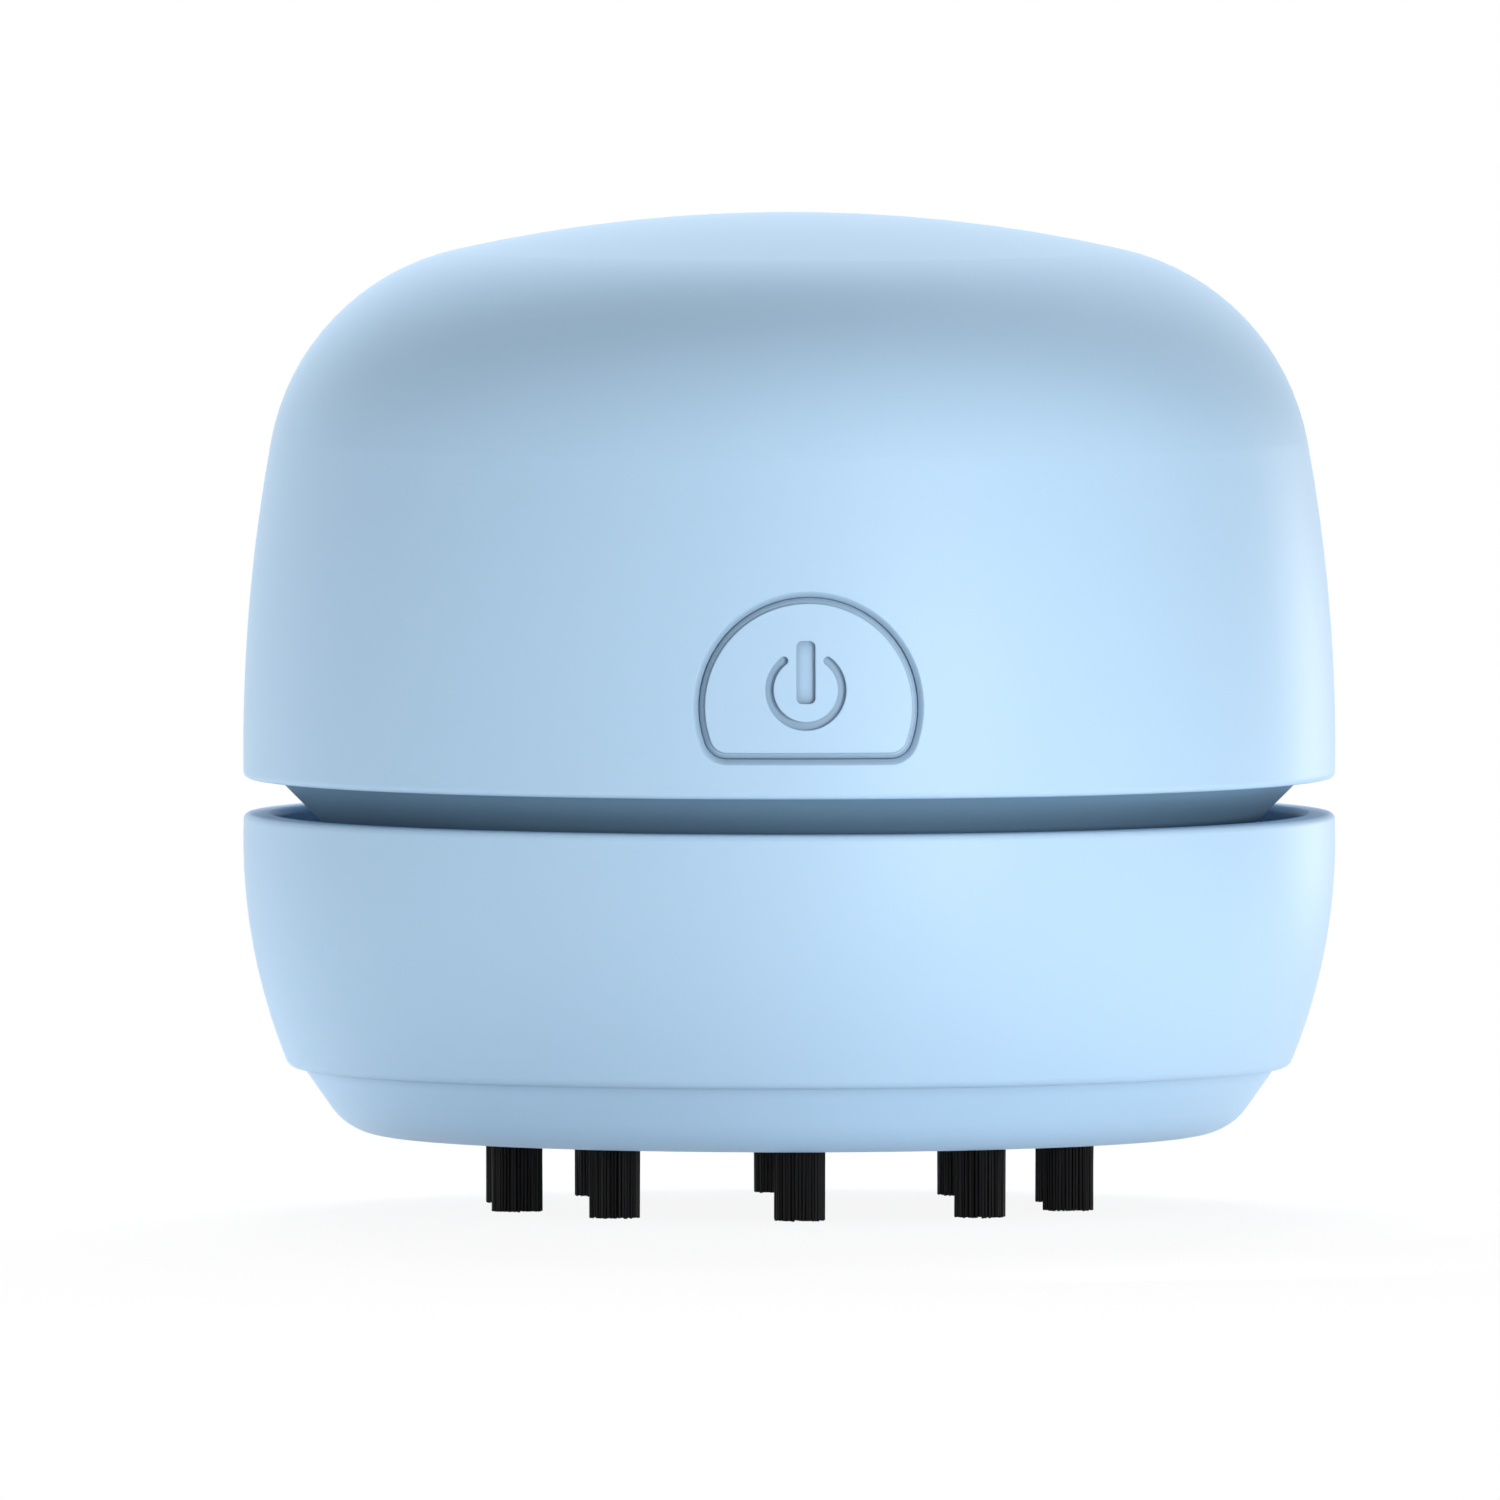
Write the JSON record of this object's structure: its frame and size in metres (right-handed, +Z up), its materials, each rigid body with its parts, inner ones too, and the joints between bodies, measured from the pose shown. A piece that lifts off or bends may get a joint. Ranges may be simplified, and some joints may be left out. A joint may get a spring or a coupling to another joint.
{
  "type": "desktop mini vacuum cleaner",
  "caption": "Round domed desktop vacuum with a D-shaped power button, open exhaust waist, twist-off dust bowl, fan, filter and a base with bristle tufts around an oblong inlet.",
  "frame": {"origin": "centre of the bristle tips, on the table under the middle of the body", "axes": "+Z up the body's axis, -Y towards the power button, +Y towards the charge socket, +X to the right"},
  "size_m": [0.08, 0.08, 0.0728],
  "materials": {
    "shell_blue": "satin moulded ABS, pale sky blue",
    "frame_blue": "satin moulded ABS, a shade deeper",
    "impeller_white": "satin moulded acetal",
    "filter_felt": "needle-felt filter fleece",
    "seal_rubber": "soft silicone",
    "screw_steel": "zinc-plated",
    "motor_steel": "drawn and plated steel",
    "black_plastic": "matt moulded nylon",
    "terminal_brass": "stamped",
    "board_green": "solder mask over glass laminate",
    "light_pipe": "clear moulded acrylic",
    "cell_foil": "laminated pouch foil",
    "foam_pad": "closed-cell adhesive foam",
    "lead_red": "soft insulated stranded wire",
    "bristle_black": "black nylon bristle tufts"
  },
  "bodies": {
    "housing": {"battery_cell": "cell_foil", "battery_leads": "lead_red", "battery_pad": "foam_pad", "charge_board": "board_green", "charge_board_screws": "screw_steel", "charge_chip": "black_plastic", "charge_light": "light_pipe", "fan_cover": "frame_blue", "fan_cover_screws": "screw_steel", "fan_frame": "frame_blue", "filter_frame": "frame_blue", "filter_pad": "filter_felt", "frame_screws": "screw_steel", "motor_can": "motor_steel", "motor_end_cap": "black_plastic", "motor_leads": "lead_red", "motor_screws": "screw_steel", "motor_terminals": "terminal_brass", "switch_board": "board_green", "switch_body": "black_plastic", "switch_leads": "lead_red", "upper_shell": "shell_blue", "usb_socket": "motor_steel", "usb_tongue": "black_plastic"},
    "cup": {"dust_bowl": "shell_blue", "brush_base": "shell_blue", "base_screws": "screw_steel", "bristle_tuft_01": "bristle_black", "bristle_tuft_02": "bristle_black", "bristle_tuft_03": "bristle_black", "bristle_tuft_04": "bristle_black", "bristle_tuft_05": "bristle_black", "bristle_tuft_06": "bristle_black", "bristle_tuft_07": "bristle_black", "bristle_tuft_08": "bristle_black", "bristle_tuft_09": "bristle_black", "bristle_tuft_10": "bristle_black"},
    "button": {"power_button": "shell_blue", "switch_plunger": "impeller_white"},
    "rotor": {"motor_shaft": "motor_steel", "impeller": "impeller_white"},
    "seal": {"seal_ring": "seal_rubber"}
  },
  "joints": [
    {"name": "power_button_press", "type": "slide", "parent": "housing", "child": "button", "axis": [0, 1, 0], "range_m": [0, 0.0012], "stiffness_N_per_m": 1200},
    {"name": "rotor_spin", "type": "hinge", "parent": "housing", "child": "rotor", "pos_m": [0, 0, 0.03], "axis": [0, 0, 1], "continuous": true},
    {"name": "cup_twist", "type": "hinge", "parent": "housing", "child": "seal", "pos_m": [0, 0, 0.0206], "axis": [0, 0, 1], "range_deg": [0, 25]},
    {"name": "cup_pull", "type": "slide", "parent": "seal", "child": "cup", "axis": [0, 0, -1], "range_m": [0, 0.03]}
  ]
}
